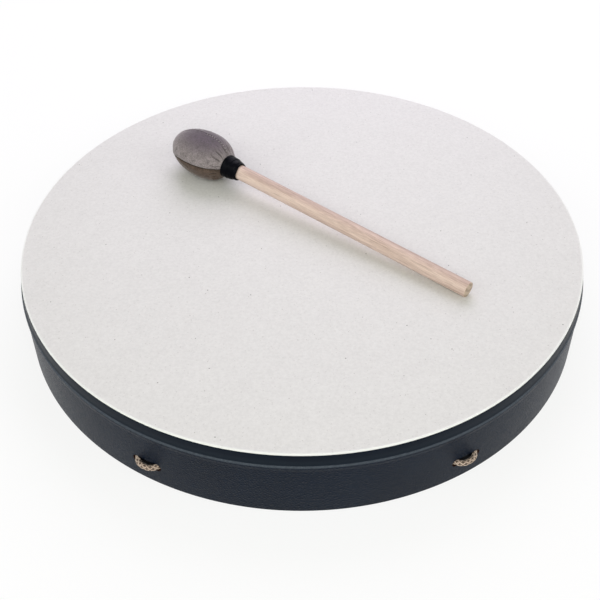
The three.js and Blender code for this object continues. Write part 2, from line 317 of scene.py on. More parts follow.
raw_dark, raw_light = (0.10, 0.055, 0.03), (0.24, 0.15, 0.09)
fibre = mottled("raw_fibre", (0.85, 0.2), (60.0, 900.0), raw_dark, raw_light, (0.5, 0.0004))

shell_radius, shell_inside, rim_round, ring_steps = 0.2770, 0.2700, 0.0006, 288
bearing_inside, bearing_top, bearing_round = 0.2738, 0.0754, 0.0012
shell_outline = (
    arc(shell_radius - rim_round, rim_round, rim_round, -90, 0)
    + arc(shell_radius - bearing_round, bearing_top - bearing_round, bearing_round, 0, 90)
    + [(bearing_inside, bearing_top), (shell_inside, bearing_top - (bearing_inside - shell_inside))]
    + arc(shell_inside + rim_round, rim_round, rim_round, 180, 270)
)
shell = link("shell_fibre_ring", turned("shell_fibre_ring", shell_outline, ring_steps))
shell.data.materials.append(fibre.material)
drill_for_rope(shell, fibre.material)
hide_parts("shell_ring")
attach(shell, "drum")


# Covering of the wall
# Dark grained sheet with a brown backing, glued round the ring and butted at the back. Its upper edge
# swells to a rounded bead below the strip, with a painted highlight on the bead's upper face. The backing
# shows inside the rope holes, and painted shade darkens the sheet behind each bight of the rope.
def from_bight(finish, x, y):
    """How far along the wall a place lies from the middle of the nearest bight of rope."""
    turn = math.radians(lace_angle)
    back = finish.calc("MULTIPLY", finish.calc("ABSOLUTE", y), -math.sin(turn))
    along = finish.calc("MULTIPLY_ADD", finish.calc("ABSOLUTE", x), math.cos(turn), back)
    return finish.calc("ABSOLUTE", along)


covering = Finish("grained_covering", 0.38, 0.1)
covering.shader.inputs["Specular Tint"].default_value = (0.82, 0.93, 1.0, 1.0)
place = covering.place()
x, y, z = covering.parts(place)
mottle, grain = covering.grain(place, 14.0, 330.0, 0.4)
pebble = covering.nodes.new("ShaderNodeTexVoronoi")
pebble.feature = "DISTANCE_TO_EDGE"
pebble.inputs["Scale"].default_value = 430.0
covering.links.new(place, pebble.inputs["Vector"])
tone = covering.ramp(mottle, [(0.36, (0.0014, 0.0046, 0.0130)), (0.64, (0.0036, 0.0094, 0.0228))])
bead_top = 0.0632
# Painted highlight: the upper face of the bead is made paler and a little smoother, where light catches
# it.
painted_bead_highlight = covering.between(z, bead_top - 0.0032, bead_top - 0.0016)
painted_bead_highlight = covering.calc("MULTIPLY", painted_bead_highlight, covering.between(z, bead_top - 0.0011, bead_top, 1.0, 0.2))
painted_bead_highlight = covering.calc("MULTIPLY", painted_bead_highlight, covering.between(grain, 0.25, 0.60, 0.75, 1.0))
tone = covering.over(tone, (0.078, 0.092, 0.114), covering.calc("MULTIPLY", painted_bead_highlight, 0.9))
# Painted shade: behind each bight of rope the sheet is darkened and loses its reflection, where the rope
# shades it.
shade_line_height = lace_height + 0.0014
from_shade_line = covering.calc("ABSOLUTE", covering.calc("SUBTRACT", z, shade_line_height))
painted_rope_shade = covering.between(from_bight(covering, x, y), 0.0110, 0.0145, 1.0, 0.0)
painted_rope_shade = covering.calc("MULTIPLY", painted_rope_shade, covering.between(from_shade_line, 0.0012, 0.0046, 1.0, 0.0))
tone = covering.over(tone, (0.0005, 0.0005, 0.0006), covering.calc("MULTIPLY", painted_rope_shade, 0.95))
shine = covering.between(painted_rope_shade, 0.0, 1.0, 0.1, 0.005)
covering.links.new(shine, covering.shader.inputs["Specular IOR Level"])
joint = covering.butt_joint(x, y, 0.0, 0.00012, 0.00040)
covering.colour(covering.over(tone, (0.001, 0.001, 0.001), joint))
rough = covering.between(grain, 0.2, 0.8, 0.32, 0.44)
covering.rough(covering.calc("MULTIPLY_ADD", painted_bead_highlight, -0.13, rough))
height = covering.calc("MULTIPLY_ADD", pebble.outputs["Distance"], 6.0, grain)
covering.bump(covering.calc("SUBTRACT", height, joint), 0.38, 0.0003)

back_dark, back_light = (0.020, 0.008, 0.005), (0.060, 0.026, 0.017)
backing = mottled("covering_backing", (0.9, 0.1), (80.0, 1200.0), back_dark, back_light, (0.4, 0.0003))

wrap_inside, lay_gap = 0.2773, 0.0003
bead_radius, bead_width, bead_rise = 0.2776, 0.0027, 0.0030
swell = [(wall_radius, 0.0548), (0.27947, 0.0558), (0.27968, 0.0568)]
swell += [(0.28, 0.0578), (0.28022, 0.0588), (0.2803, 0.0595)]
bead = [math.radians(7.5 * i) for i in range(13)]
wrap_outline = (
    [(wrap_inside, lay_gap)]
    + arc(wall_radius - rim_round, lay_gap + rim_round, rim_round, -90, 0)
    + swell
    + [(bead_radius + bead_width * math.cos(t), bead_top - bead_rise * (1 - math.sin(t))) for t in bead]
    + [(wrap_inside, bead_top)]
)
wrap = link("wall_covering", turned("wall_covering", wrap_outline, ring_steps))
wrap.data.materials.append(covering.material)
drill_for_rope(wrap, backing.material)
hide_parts("shell_wrap")
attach(wrap, "drum")

# Head
# One sheet of off-white fibre film, stretched flat and turned down over the bearing edge, where it is
# bonded. Fine specks are pressed into it, and a painted highlight makes it whiter where it rolls over the
# edge.
film = Finish("fibre_film", 0.55, 0.35)
place = film.place()
mottle, grain = film.grain(place, 45.0, 360.0, 0.15)
pulp = [(0.28, (0.664, 0.652, 0.638)), (0.5, (0.720, 0.708, 0.694)), (0.72, (0.768, 0.757, 0.742))]
tone = film.ramp(mottle, pulp)


def specks(scale, size, share, weight):
    """A mask of small specks, one in some of the cells of a cell pattern."""
    cells = film.nodes.new("ShaderNodeTexVoronoi")
    cells.inputs["Scale"].default_value = scale
    film.links.new(place, cells.inputs["Vector"])
    chance = film.nodes.new("ShaderNodeSeparateColor")
    film.links.new(cells.outputs["Color"], chance.inputs[0])
    picked = film.calc("LESS_THAN", chance.outputs[0], share)
    spot = film.between(cells.outputs["Distance"], size * 0.4, size, weight, 0.0)
    return film.calc("MULTIPLY", spot, picked)


tone = film.over(tone, (0.15, 0.14, 0.125), specks(66.0, 0.052, 0.80, 0.95))
tone = film.over(tone, (0.26, 0.24, 0.22), specks(125.0, 0.075, 0.60, 0.70))
tone = film.over(tone, (0.46, 0.44, 0.42), specks(300.0, 0.24, 0.45, 0.35))
# Painted highlight along the roll of the film over the edge.
painted_roll_highlight = film.between(film.from_axis(place), 0.2756, 0.2776, 0.0, 0.95)
film.colour(film.over(tone, (0.97, 0.98, 0.96), painted_roll_highlight))
film.bump(grain, 0.12, 0.0003)

head_height, film_thickness = 0.0762, 0.0005
inner_roll, inner_middle, outer_roll, outer_middle = 0.0015, 0.2756, 0.0013, 0.2765
head_under, flat_radii = head_height - film_thickness, (0.0, 0.10, 0.20)
skirt = [(0.2770, 0.0738), (0.2770, 0.0635), (0.2773, 0.0635), (0.2773, 0.0740), (0.27752, 0.0744)]
head_outline = (
    [(r, head_under) for r in flat_radii]
    + arc(inner_middle, head_under - inner_roll, inner_roll, 90, 15)
    + skirt
    + arc(outer_middle, head_height - outer_roll, outer_roll, -20, 90, 10)
    + [(r, head_height) for r in reversed(flat_radii)]
)
head = link("film_head", turned("film_head", head_outline, ring_steps, closed=False))
head.data.materials.append(film.material)
close_and_smooth(head.data, 60)
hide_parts("drum_head")
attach(head, "drum")

# Strip over the edge of the film
# A smooth black strip glued over the turned-down film, from just under the roll to the bead of the
# covering. It flares towards the bead, where painted light makes it paler, and its ends are butted at the
# back.
strip = Finish("black_strip", 0.4, 0.1)
strip.shader.inputs["Specular Tint"].default_value = (0.82, 0.93, 1.0, 1.0)
place = strip.place()
x, y, z = strip.parts(place)
mottle, grain = strip.grain(place, 30.0, 700.0)
tone = strip.ramp(mottle, [(0.3, (0.0010, 0.0038, 0.0100)), (0.7, (0.0030, 0.0076, 0.0165))])
# Painted light: the strip is made paler towards the bead than in the shade under the film's roll.
tone = strip.over(tone, (0.0075, 0.0125, 0.0210), strip.between(z, 0.0652, 0.0702, 1.0, 0.0))
joint = strip.butt_joint(x, y, 0.012, 0.00010, 0.00030)
strip.colour(strip.over(tone, (0.0008, 0.0008, 0.0008), joint))
strip.rough(strip.between(grain, 0.2, 0.8, 0.34, 0.50))
strip.bump(strip.calc("SUBTRACT", grain, joint), 0.25, 0.0002)

strip_outline = [
    (0.27745, 0.06338), (0.27880, 0.06285), (0.27915, 0.06275), (0.27905, 0.06330),
    (0.27885, 0.06420), (0.27865, 0.06560), (0.27848, 0.06800), (0.27832, 0.07080),
    (0.27808, 0.07330), (0.27790, 0.07420), (0.27772, 0.07452), (0.27758, 0.07452),
    (0.27745, 0.07400),
]
band = link("collar_strip", turned("collar_strip", strip_outline, ring_steps))
band.data.materials.append(strip.material)
close_and_smooth(band.data, 35)
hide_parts("collar_band")
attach(band, "drum")

# Rope and its grip
# Round braided cord, tan with dark tracer strands, with painted shade where it lies close to the wall and
# in the grooves between its strands. It is laced through pairs of holes at four places and pulled taut
# across the inside, and its tail is wound round the gathered strands as the hand grip.
rope_radius, edge_room = 0.0025, 0.0005


def braided_rope_tree():
    """A cord along a route, its strands crossing over and under, with some marked as tracers."""
    tree = bpy.data.node_groups.new("braided_rope", "GeometryNodeTree")
    face = tree.interface
    face.new_socket("Route", in_out="INPUT", socket_type="NodeSocketGeometry")
    for name, value in (("Radius", 0.00262), ("Lay", 0.0190), ("Relief", 0.00050), ("Step", 0.00055)):
        face.new_socket(name, in_out="INPUT", socket_type="NodeSocketFloat").default_value = value
    face.new_socket("Carriers", in_out="INPUT", socket_type="NodeSocketInt").default_value = 8
    face.new_socket("Finish", in_out="INPUT", socket_type="NodeSocketMaterial")
    face.new_socket("Rope", in_out="OUTPUT", socket_type="NodeSocketGeometry")
    nodes, links = tree.nodes, tree.links
    start, end = nodes.new("NodeGroupInput"), nodes.new("NodeGroupOutput")

    def calc(operation, *values):
        return math_step(tree, operation, *values)

    def stored(geometry, name, value):
        node = nodes.new("GeometryNodeStoreNamedAttribute")
        node.data_type, node.domain = "FLOAT", "POINT"
        node.inputs["Name"].default_value = name
        links.new(geometry, node.inputs["Geometry"])
        links.new(value, node.inputs["Value"])
        return node.outputs["Geometry"]

    def read(name):
        node = nodes.new("GeometryNodeInputNamedAttribute")
        node.data_type = "FLOAT"
        node.inputs["Name"].default_value = name
        return node.outputs["Attribute"]

    evenly = nodes.new("GeometryNodeResampleCurve")
    evenly.mode = "LENGTH"
    links.new(start.outputs["Route"], evenly.inputs["Curve"])
    links.new(start.outputs["Step"], evenly.inputs["Length"])
    rail_place = nodes.new("GeometryNodeSplineParameter")
    ring_place = nodes.new("GeometryNodeSplineParameter")
    rail = stored(evenly.outputs["Curve"], "along", rail_place.outputs["Length"])
    ring = nodes.new("GeometryNodeCurvePrimitiveCircle")
    ring.inputs["Resolution"].default_value = 40
    links.new(start.outputs["Radius"], ring.inputs["Radius"])
    section = stored(ring.outputs["Curve"], "around", ring_place.outputs["Factor"])
    tube = nodes.new("GeometryNodeCurveToMesh")
    tube.inputs["Fill Caps"].default_value = True
    links.new(rail, tube.inputs["Curve"])
    links.new(section, tube.inputs["Profile Curve"])

    turns = calc("DIVIDE", read("along"), start.outputs["Lay"])
    right = calc("MULTIPLY", calc("ADD", read("around"), turns), start.outputs["Carriers"])
    left = calc("MULTIPLY", calc("SUBTRACT", read("around"), turns), start.outputs["Carriers"])
    right_cell, left_cell = calc("FLOOR", right), calc("FLOOR", left)
    over = calc("MULTIPLY", calc("FRACT", calc("MULTIPLY", calc("ADD", right_cell, left_cell), 0.5)), 2.0)
    across_right = calc("SINE", calc("MULTIPLY", calc("FRACT", right), math.pi))
    across_left = calc("SINE", calc("MULTIPLY", calc("FRACT", left), math.pi))

    def crown(across, under):
        dip = calc("ADD", calc("MULTIPLY", under, 0.6), 0.4)
        return calc("MULTIPLY", calc("POWER", across, 0.6), dip)

    right_top = calc("MULTIPLY", crown(across_right, across_left), calc("SUBTRACT", 1.0, over))
    left_top = calc("MULTIPLY", crown(across_left, across_right), over)
    height = calc("ADD", right_top, left_top)
    tracer_cell = calc("LESS_THAN", calc("FRACT", calc("MULTIPLY", right_cell, 0.5)), 0.1)
    tracer = calc("MULTIPLY", tracer_cell, calc("SUBTRACT", 1.0, over))
    shaped = stored(stored(tube.outputs["Mesh"], "crown", height), "tracer", tracer)

    lift = nodes.new("ShaderNodeVectorMath")
    lift.operation = "SCALE"
    normal = nodes.new("GeometryNodeInputNormal")
    links.new(normal.outputs["Normal"], lift.inputs[0])
    rise = calc("MULTIPLY", calc("SUBTRACT", read("crown"), 0.8), start.outputs["Relief"])
    links.new(rise, lift.inputs["Scale"])
    move = nodes.new("GeometryNodeSetPosition")
    links.new(shaped, move.inputs["Geometry"])
    links.new(lift.outputs[0], move.inputs["Offset"])
    smooth = nodes.new("GeometryNodeSetShadeSmooth")
    links.new(move.outputs[0], smooth.inputs[0])
    real = nodes.new("GeometryNodeRealizeInstances")
    links.new(smooth.outputs[0], real.inputs[0])
    coat = nodes.new("GeometryNodeSetMaterial")
    links.new(real.outputs[0], coat.inputs["Geometry"])
    links.new(start.outputs["Finish"], coat.inputs["Material"])
    links.new(coat.outputs[0], end.inputs[0])
    return tree


cord = Finish("tan_braid", 0.9, 0.15)
cord.shader.inputs["Sheen Weight"].default_value = 0.2
cord.shader.inputs["Sheen Roughness"].default_value = 0.5
place = cord.place()
x, y, _ = cord.parts(place)
mottle, grain = cord.grain(place, 90.0, 2200.0)
radius = cord.from_axis(place)
# Painted shade: the rope is darkened on its side towards the wall, most in the middle of each bight.
wall_side_shade = cord.between(radius, 0.2810, 0.2846, 0.85, 0.0)
painted_rope_shade = cord.calc("MULTIPLY", cord.between(radius, 0.2785, 0.2800), wall_side_shade)
painted_rope_shade = cord.calc("MULTIPLY", painted_rope_shade, cord.between(from_bight(cord, x, y), 0.0030, 0.0085, 1.0, 0.0))
yarn = cord.ramp(mottle, [(0.3, (0.60, 0.455, 0.365)), (0.7, (0.86, 0.705, 0.600))])
yarn = cord.over(yarn, (0.040, 0.020, 0.013), cord.calc("MULTIPLY", cord.value("tracer"), 0.9))
# Painted shade in the grooves between the strands.
groove_shade = cord.ramp(cord.value("crown"), [(0.25, (0.12, 0.08, 0.06)), (0.62, (1.0, 1.0, 1.0))])
cord.colour(cord.over(cord.times(yarn, groove_shade), (0.030, 0.018, 0.012), painted_rope_shade))
cord.bump(grain, 0.5, 0.0002)

braid = braided_rope_tree()


def grown_along(name, route, tree, material):
    """A piece that a node tree grows along a route, as a plain mesh in the given material."""
    curve = bpy.data.curves.new(name + "_route", "CURVE")
    curve.dimensions = "3D"
    line = curve.splines.new("POLY")
    line.points.add(len(route) - 1)
    for point, place in zip(line.points, route):
        point.co = (*place, 1.0)
    guide = link(name + "_route", curve)
    growth = guide.modifiers.new("growth", "NODES")
    growth.node_group = tree
    inputs = {item.name: item.identifier for item in tree.interface.items_tree if item.in_out == "INPUT"}
    growth[inputs["Finish"]] = material
    graph = bpy.context.evaluated_depsgraph_get()
    mesh = bpy.data.meshes.new_from_object(guide.evaluated_get(graph), depsgraph=graph)
    bpy.data.objects.remove(guide)
    mesh.name = name
    return link(name, mesh)


def lay_rope(name, route, node):
    piece = grown_along(name, route, braid, cord.material)
    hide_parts(node)
    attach(piece, "drum")


def rounded_route(corners, bends, steps=16):
    """Straight runs between corners, with each corner rounded by its own bend radius."""
    route = [corners[0]]
    for i, bend in enumerate(bends):
        corner = corners[i + 1]
        back, on = (corners[i] - corner).normalized(), (corners[i + 2] - corner).normalized()
        half = back.angle(on) / 2
        centre = corner + (back + on).normalized() * (bend / math.sin(half))
        arm = corner + back * (bend / math.tan(half)) - centre
        axis = on.cross(back).normalized()
        for k in range(steps + 1):
            route.append(centre + Matrix.Rotation(k / steps * (math.pi - 2 * half), 3, axis) @ arm)
    return route + [corners[-1]]


pass_turn = math.degrees((hole_spacing / 2 + hole_radius - rope_radius - edge_room) / wall_radius)
strand_offset, strand_end, grip_turns, coil_pitch, coil_steps = 0.0028, 0.00015, 18, 0.00545, 48
coil_radius = strand_offset * math.sqrt(2) + 2 * rope_radius + lay_gap
grip_half = grip_turns * coil_pitch / 2 + 2 * rope_radius
inner, bight_gap = shell_inside - 3 * rope_radius, 0.0012
outer = (wall_radius + bight_gap + rope_radius) / math.cos(math.radians(pass_turn))
easy, close = 0.020, 0.010

for name, angle in bights.items():
    side, end = math.copysign(1, angle), -1 if abs(angle) < 90 else 1

    def strand(y, rise):
        return Vector((side * strand_offset, end * y, lace_height + rise * strand_offset))

    first, second = angle - pass_turn, angle + pass_turn
    corners = [
        strand(strand_end, 1),
        strand(grip_half, 1),
        around(first, inner, lace_height),
        around(first, outer, lace_height),
        around(second, outer, lace_height),
        around(second, inner, lace_height),
        strand(grip_half, -1),
        strand(strand_end, -1),
    ]
    route = rounded_route(corners, [easy, easy, close, close, easy, easy])
    lay_rope("rope_" + name + "_braid", route, "rope_" + name)

coil = []
for i in range(coil_steps * grip_turns + 1):
    turn = 2 * math.pi * i / coil_steps
    y = (i / coil_steps - grip_turns / 2) * coil_pitch
    coil.append(Vector((coil_radius * math.sin(turn), y, lace_height + coil_radius * math.cos(turn))))
coil.insert(0, coil[0] + (coil[0] - coil[1]).normalized() * 2 * rope_radius)
coil.append(coil[-1] + (coil[-1] - coil[-2]).normalized() * 2 * rope_radius)
lay_rope("grip_winding_braid", coil, "grip_winding")

# Mallet handle
# A straight hardwood dowel with an eased butt, sanded and lightly sealed, paler on its near, lower side,
# which is partly sapwood and partly painted light.
# Its far end is glued into the core of the padded head. Places along the mallet are taken from the butt.
butt, heading = Vector((0.1546, -0.0942, head_height + lay_gap)), math.radians(141.9)
handle_radius, handle_end, butt_flat, butt_round, handle_sides = 0.0077, 0.3345, 0.0040, 0.0007, 96
tape_start, tape_end, pad_middle, pad_end = 0.2760, 0.2943, 0.3243, 0.3653
pad_half, pad_flattening = 0.0263, 0.09
tilt = math.asin((pad_half * (1 - pad_flattening) - handle_radius) / pad_middle)
butt.z += handle_radius * math.cos(tilt)
mallet_place = Matrix.Translation(butt) @ Matrix.Rotation(heading, 4, "Z")
mallet_place = mallet_place @ Matrix.Rotation(math.pi / 2 - tilt, 4, "Y")


def lay_on_head(mesh):
    """Keeps each point's place along and across the mallet, then lays the mesh on the head."""
    own = mesh.attributes.new("own", "FLOAT_VECTOR", "POINT")
    for item, vert in zip(own.data, mesh.vertices):
        item.vector = vert.co
    mesh.transform(mallet_place)


wood = Finish("pale_hardwood", 0.45, 0.3)
own = wood.place("own")
x, y, z = wood.parts(own)


def drawn_out(share):
    """The handle's own coordinates, drawn out along its length."""
    node = wood.nodes.new("ShaderNodeMapping")
    node.inputs["Location"].default_value = (0.011, 0.006, 0.0)
    node.inputs["Scale"].default_value = (1.0, 1.0, share)
    wood.links.new(own, node.inputs["Vector"])
    return node.outputs[0]


rings = wood.nodes.new("ShaderNodeTexWave")
rings.wave_type, rings.rings_direction = "RINGS", "Z"
rings.inputs["Scale"].default_value = 48.0
rings.inputs["Distortion"].default_value = 3.0
rings.inputs["Detail"].default_value = 3.0
rings.inputs["Detail Scale"].default_value = 1.5
wood.links.new(drawn_out(0.07), rings.inputs["Vector"])
mottle, grain = wood.grain(drawn_out(0.07), 190.0, 1500.0, 0.5)
# The near, lower side is made paler: partly sapwood, partly painted light where light from the front
# falls.
sapwood_and_lit_side = wood.calc("MULTIPLY_ADD", x, 0.64, wood.calc("MULTIPLY", y, 0.77))
sapwood_and_lit_side = wood.between(wood.calc("MULTIPLY_ADD", mottle, 0.012, sapwood_and_lit_side), -0.0005, 0.0085)
tone = wood.ramp(sapwood_and_lit_side, [(0.0, (0.585, 0.438, 0.372)), (1.0, (0.790, 0.625, 0.540))])
tone = wood.times(tone, wood.ramp(mottle, [(0.36, (0.72, 0.67, 0.65)), (0.60, (1.06, 1.06, 1.06))]))
fleck, _ = wood.grain(drawn_out(0.03), 420.0, 2300.0, 0.5)
tone = wood.over(tone, (0.30, 0.185, 0.125), wood.between(fleck, 0.52, 0.66, 0.0, 0.60))
end_grain = wood.ramp(rings.outputs["Fac"], [(0.15, (0.36, 0.265, 0.185)), (0.70, (0.58, 0.46, 0.345))])
wood.colour(wood.over(tone, end_grain, wood.between(z, 0.0003, 0.0009, 0.9, 0.0)))
wood.bump(grain, 0.15, 0.0001)

handle_outline = [(0.0, 0.0), (butt_flat, 0.0)]
handle_outline += arc(handle_radius - butt_round, butt_round, butt_round, -90, 0, 5)
handle_outline += [(handle_radius, 0.002 + 0.01 * i) for i in range(28)]
handle_outline += [(handle_radius, handle_end), (0.0, handle_end)]
handle = link("wooden_handle", turned("wooden_handle", handle_outline, handle_sides, closed=False))
close_and_smooth(handle.data, 35)
lay_on_head(handle.data)
handle.data.materials.append(wood.material)
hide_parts("mallet_handle")
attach(handle, "mallet")

# Padded head of the mallet
# Two suede panels sewn along the sides over a firm felt core and drawn in to the neck, where the spare
# suede settles into gathers. The upper panel laps over the lower one, turns down round the nose and has a
# sewn seam of its own with pale stitches.
felt_dark, felt_light = (0.55, 0.50, 0.44), (0.72, 0.68, 0.62)
felt = mottled("core_felt", (0.95, 0.1), (40.0, 600.0), felt_dark, felt_light, (0.5, 0.0004))
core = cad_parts["mallet_core"]
core.data.materials.clear()
core.data.materials.append(felt.material)

cover_roll, nose_turn, steepest, neck_radius = math.radians(8.0), 0.009, 0.97, 0.0109
cover_start, far_seam = tape_end - 0.004, math.radians(3.0)
neck_span = (pad_middle - tape_end) / math.sqrt(1 - (neck_radius / pad_half) ** 2)


def ease(value, low, high):
    """A smooth rise from 0 to 1 between two values."""
    t = min(max((value - low) / (high - low), 0.0), 1.0)
    return t * t * (3 - 2 * t)


def bell(off, width):
    """One in the middle of a seam or ridge, fading to nothing at its sides."""
    return math.exp(-((off / width) ** 2))


def along_pad(share):
    """A place along the mallet, from under the tape to the nose, in steps that shorten there."""
    return cover_start + (pad_end - cover_start) * math.sin(math.pi / 2 * share)


def pad_radius(s):
    span = neck_span if s < pad_middle else pad_end - pad_middle
    return pad_half * math.sqrt(max(0.0, 1 - ((max(s, tape_end) - pad_middle) / span) ** 2))


def pad_flat(s):
    return 1 - pad_flattening * ease(s, tape_end, pad_middle)


bag_rows, bag_turns, bag_scale = 40, 216, 10.0
spare_round, spare_reach, pucker_depth, most_relief = 0.5, 0.020, 0.006, 0.0008
tied_by, settled_by = 15, 30


def settled_bag():
    """A loose bag of suede, filled and drawn in at the neck as cloth until it falls into gathers.

    Gives, row by row, how far each point stands out from the round of its neighbours.
    """
    puckers = ((17, 4.0, 30.0), (24, 0.3, 60.0), (31, 1.0, 0.0), (38, 2.2, -50.0))
    loose, tied, faces = [], [], []
    for i in range(bag_rows):
        s = along_pad(i / bag_rows)
        more = 1 + spare_round * (1 - ease(s, cover_start, cover_start + spare_reach))
        for j in range(bag_turns):
            t = 2 * math.pi * j / bag_turns
            waves = sum(math.sin(n * t + shift + bend * s) for n, shift, bend in puckers)
            uneven = 1 + pucker_depth * waves
            across, up = -pad_radius(s) * math.sin(t), -pad_flat(s) * pad_radius(s) * math.cos(t)
            tied.append(Vector((up, across, s)) * bag_scale)
            loose.append(Vector((up * more * uneven, across * more * uneven, s)) * bag_scale)
            a, b, k = i * bag_turns, (i + 1) * bag_turns, (j + 1) % bag_turns
            faces.append((a + j, a + k, b + k, b + j) if i < bag_rows - 1 else (a + j, a + k, b))
    nose = Vector((0.0, 0.0, pad_end)) * bag_scale
    mesh = bpy.data.meshes.new("bag")
    mesh.from_pydata(loose + [nose], [], faces)
    bag = link("bag", mesh)
    bag.shape_key_add(name="loose")
    drawn = bag.shape_key_add(name="tied")
    for point, place in zip(drawn.data, tied + [nose]):
        point.co = place
    tie = bag.vertex_groups.new(name="tie")
    tie.add(list(range(2 * bag_turns)), 1.0, "REPLACE")
    cloth = bag.modifiers.new("cloth", "CLOTH")
    cloth.collision_settings.use_collision = False
    settings = cloth.settings
    settings.vertex_group_mass, settings.mass, settings.quality = "tie", 0.1, 8
    settings.tension_stiffness = settings.compression_stiffness = 15.0
    settings.shear_stiffness, settings.bending_stiffness, settings.air_damping = 5.0, 0.05, 1.0
    settings.use_pressure, settings.uniform_pressure_force = True, 8.0
    settings.effector_weights.gravity = 0.0
    for value, frame_number in ((0.0, 1), (1.0, tied_by)):
        drawn.value = value
        drawn.keyframe_insert("value", frame=frame_number)
    for frame_number in range(1, settled_by + 1):
        bpy.context.scene.frame_set(frame_number)
    settled = bag.evaluated_get(bpy.context.evaluated_depsgraph_get()).data.vertices
    rows, near = [], range(-9, 10)
    for i in range(bag_rows):
        flat = pad_flat(along_pad(i / bag_rows))
        points = [settled[i * bag_turns + j].co / bag_scale for j in range(bag_turns)]
        rounds = [math.hypot(point.x / flat, point.y) for point in points]
        even = [sum(rounds[(j + k) % bag_turns] for k in near) / len(near) for j in range(bag_turns)]
        rows.append([min(max(r - middle, -most_relief), most_relief) for r, middle in zip(rounds, even)])
    action = mesh.shape_keys.animation_data.action
    bpy.data.objects.remove(bag)
    bpy.data.meshes.remove(mesh)
    bpy.data.actions.remove(action)
    bpy.context.scene.frame_set(1)
    return rows + [[0.0] * bag_turns]


gathers = settled_bag()


def gathered(share, t):
    """How far the cover stands out at a share of its length and an angle round it."""
    row, turn = min(share * bag_rows, bag_rows - 0.001), t / (2 * math.pi) * bag_turns
    i, j = int(row), math.floor(turn)
    f = turn - j
    stands = []
    for line in (gathers[i], gathers[i + 1]):
        a, b, c, d = (line[(j + k) % bag_turns] for k in (-1, 0, 1, 2))
        stands.append(b + 0.5 * f * (c - a + f * (2 * a - 5 * b + 4 * c - d + f * (3 * (b - c) + d - a))))
    return stands[0] + (stands[1] - stands[0]) * (row - i)


def cover_point(share, t, r):
    s = along_pad(share)
    return Vector((-pad_flat(s) * r * math.cos(t), -r * math.sin(t), s))


panel_thickness, nose_fade, neck_depth, neck_reach = 0.0013, 0.008, 1.5, 0.012
groove_depth, groove_width, lap_height, lap_width = 0.0012, 0.0008, 0.0006, 0.004
seam_depth, seam_width, ridge_height, ridge_aside, ridge_width = 0.0007, 0.0007, 0.0003, 0.0016, 0.0012
most_crease, crease_depth, lap_crease, seam_crease, sewn_in = 0.7, 0.0006, 0.0011, 0.0008, 0.004


def pad_panel(name, upper):
    """One panel of the cover, with painted shade for its creases and painted light for its gathers kept at
    each point.
    """
    across, along = 240, 130
    verts, faces, fold_shades_and_lights = [], [], []
    for i in range(along + 1):
        s = along_pad(i / along)
        even = pad_radius(s)
        full = min(1.0, even / nose_fade)
        deeper = 1 + neck_depth * (1 - ease(s, tape_end, tape_end + neck_reach))
        reach = max(0.0, (s - tape_end) / (pad_end - tape_end))
        turned_down = math.asin(min(steepest, nose_turn * reach**3 / max(pad_flat(s) * even, 1e-6)))
        for j in range(across + 1):
            v = math.sin(math.pi / 2 * (2 * j / across - 1))
            half = math.pi / 2 + (turned_down if upper else -turned_down)
            t = v * half + (0.0 if upper else math.pi)
            edge = even * half * (1 - abs(v))
            stands = gathered(i / along, t) * deeper
            r = even + stands * full - groove_depth * bell(edge, groove_width) * full
            # Painted shade and light for the suede: positive in dips, seams and edges, negative on raised
            # gathers.
            fold_shade_and_light = min(most_crease, max(-most_crease, -stands / crease_depth))
            fold_shade_and_light = max(bell(edge, lap_crease), fold_shade_and_light)
            if upper:
                r += lap_height * bell(edge, lap_width) * full
                off, sewn = even * (t - far_seam), full * ease(s, tape_end, tape_end + sewn_in)
                r += ridge_height * bell(abs(off) - ridge_aside, ridge_width) * sewn
                r -= seam_depth * bell(off, seam_width) * sewn
                fold_shade_and_light = max(fold_shade_and_light, most_crease * bell(off, seam_crease) * sewn)
            verts.append(cover_point(i / along, t, r))
            fold_shades_and_lights.append(fold_shade_and_light)
    for i in range(along):
        for j in range(across):
            a = i * (across + 1) + j
            faces.append((a, a + 1, a + across + 2, a + across + 1))
    mesh = bpy.data.meshes.new(name)
    mesh.from_pydata(verts, [], faces)
    mesh.attributes.new("fold_shade_and_light", "FLOAT", "POINT").data.foreach_set("value", fold_shades_and_lights)
    mesh.transform(Matrix.Rotation(cover_roll, 4, "Z"))
    return close_and_smooth(mesh, 80)


def suede(name, side, top):
    finish = Finish(name, 0.95, 0.1)
    finish.shader.inputs["Sheen Weight"].default_value = 0.35
    finish.shader.inputs["Sheen Roughness"].default_value = 0.40
    place = finish.place("own")
    x, _, _ = finish.parts(place)
    mottle, grain = finish.grain(place, 160.0, 800.0, 0.35)
    # Painted light and shade: each panel's side and top get different tones, the upper panel lighter at
    # its side facing the front and darker on top.
    side_light_top_shade = finish.calc("MULTIPLY_ADD", mottle, 0.016, finish.calc("MULTIPLY", x, -1.0))
    tone = finish.ramp(finish.between(side_light_top_shade, 0.018, 0.035), [(0.0, side), (1.0, top)])
    shade = finish.ramp(mottle, [(0.34, (0.45, 0.45, 0.45)), (0.66, (1.0, 1.0, 1.0))])
    nap = finish.ramp(grain, [(0.38, (0.91, 0.91, 0.91)), (0.62, (1.08, 1.08, 1.08))])
    tone = finish.times(finish.times(tone, shade), nap)
    # Painted shade darkens the creases, seams and panel edges, and painted light brightens the raised
    # gathers.
    fold_shade_and_light = finish.value("fold_shade_and_light")
    tone = finish.over(tone, (0.020, 0.016, 0.014), finish.between(fold_shade_and_light, 0.0, 1.0, 0.0, 0.6))
    finish.colour(finish.over(tone, (0.40, 0.36, 0.35), finish.between(fold_shade_and_light, -0.7, 0.0, 0.5, 0.0)))
    finish.bump(grain, 0.4, 0.0004)
    return finish.material


